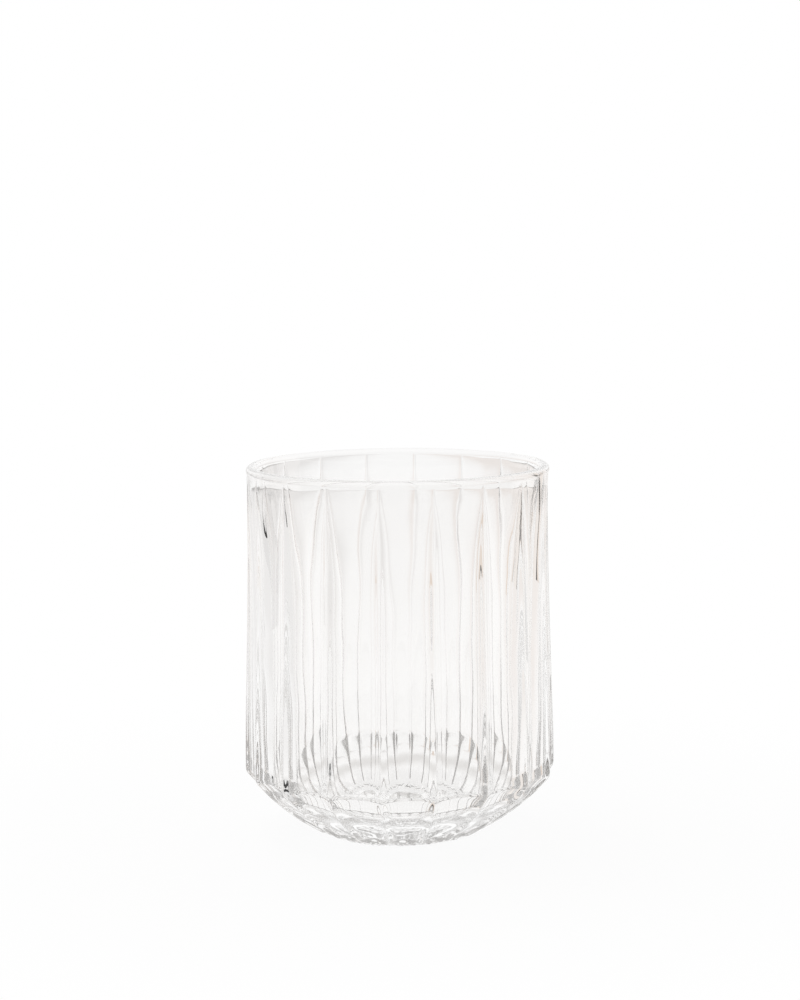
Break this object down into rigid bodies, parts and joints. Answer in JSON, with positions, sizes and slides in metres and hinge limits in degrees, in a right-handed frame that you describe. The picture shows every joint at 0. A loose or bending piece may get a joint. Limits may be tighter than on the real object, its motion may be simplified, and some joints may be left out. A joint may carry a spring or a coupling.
{
  "type": "iced coffee glass",
  "caption": "Empty clear glass tumbler with a round lip, upright flutes parted by narrow ribs, a rounded shoulder and a bowl that runs in to a small thick foot.",
  "frame": {"origin": "middle of the foot, on the plane that the glass stands on", "axes": "+Z along the axis of the glass towards the lip; -Y is the side that faces the camera in the picture; +X is to its right"},
  "size_m": [0.0822, 0.0818, 0.0985],
  "materials": {
    "clear_glass": "clear, fire-polished, smooth inside and fluted outside"
  },
  "bodies": {
    "root": {"tumbler": "clear_glass"}
  },
  "joints": []
}
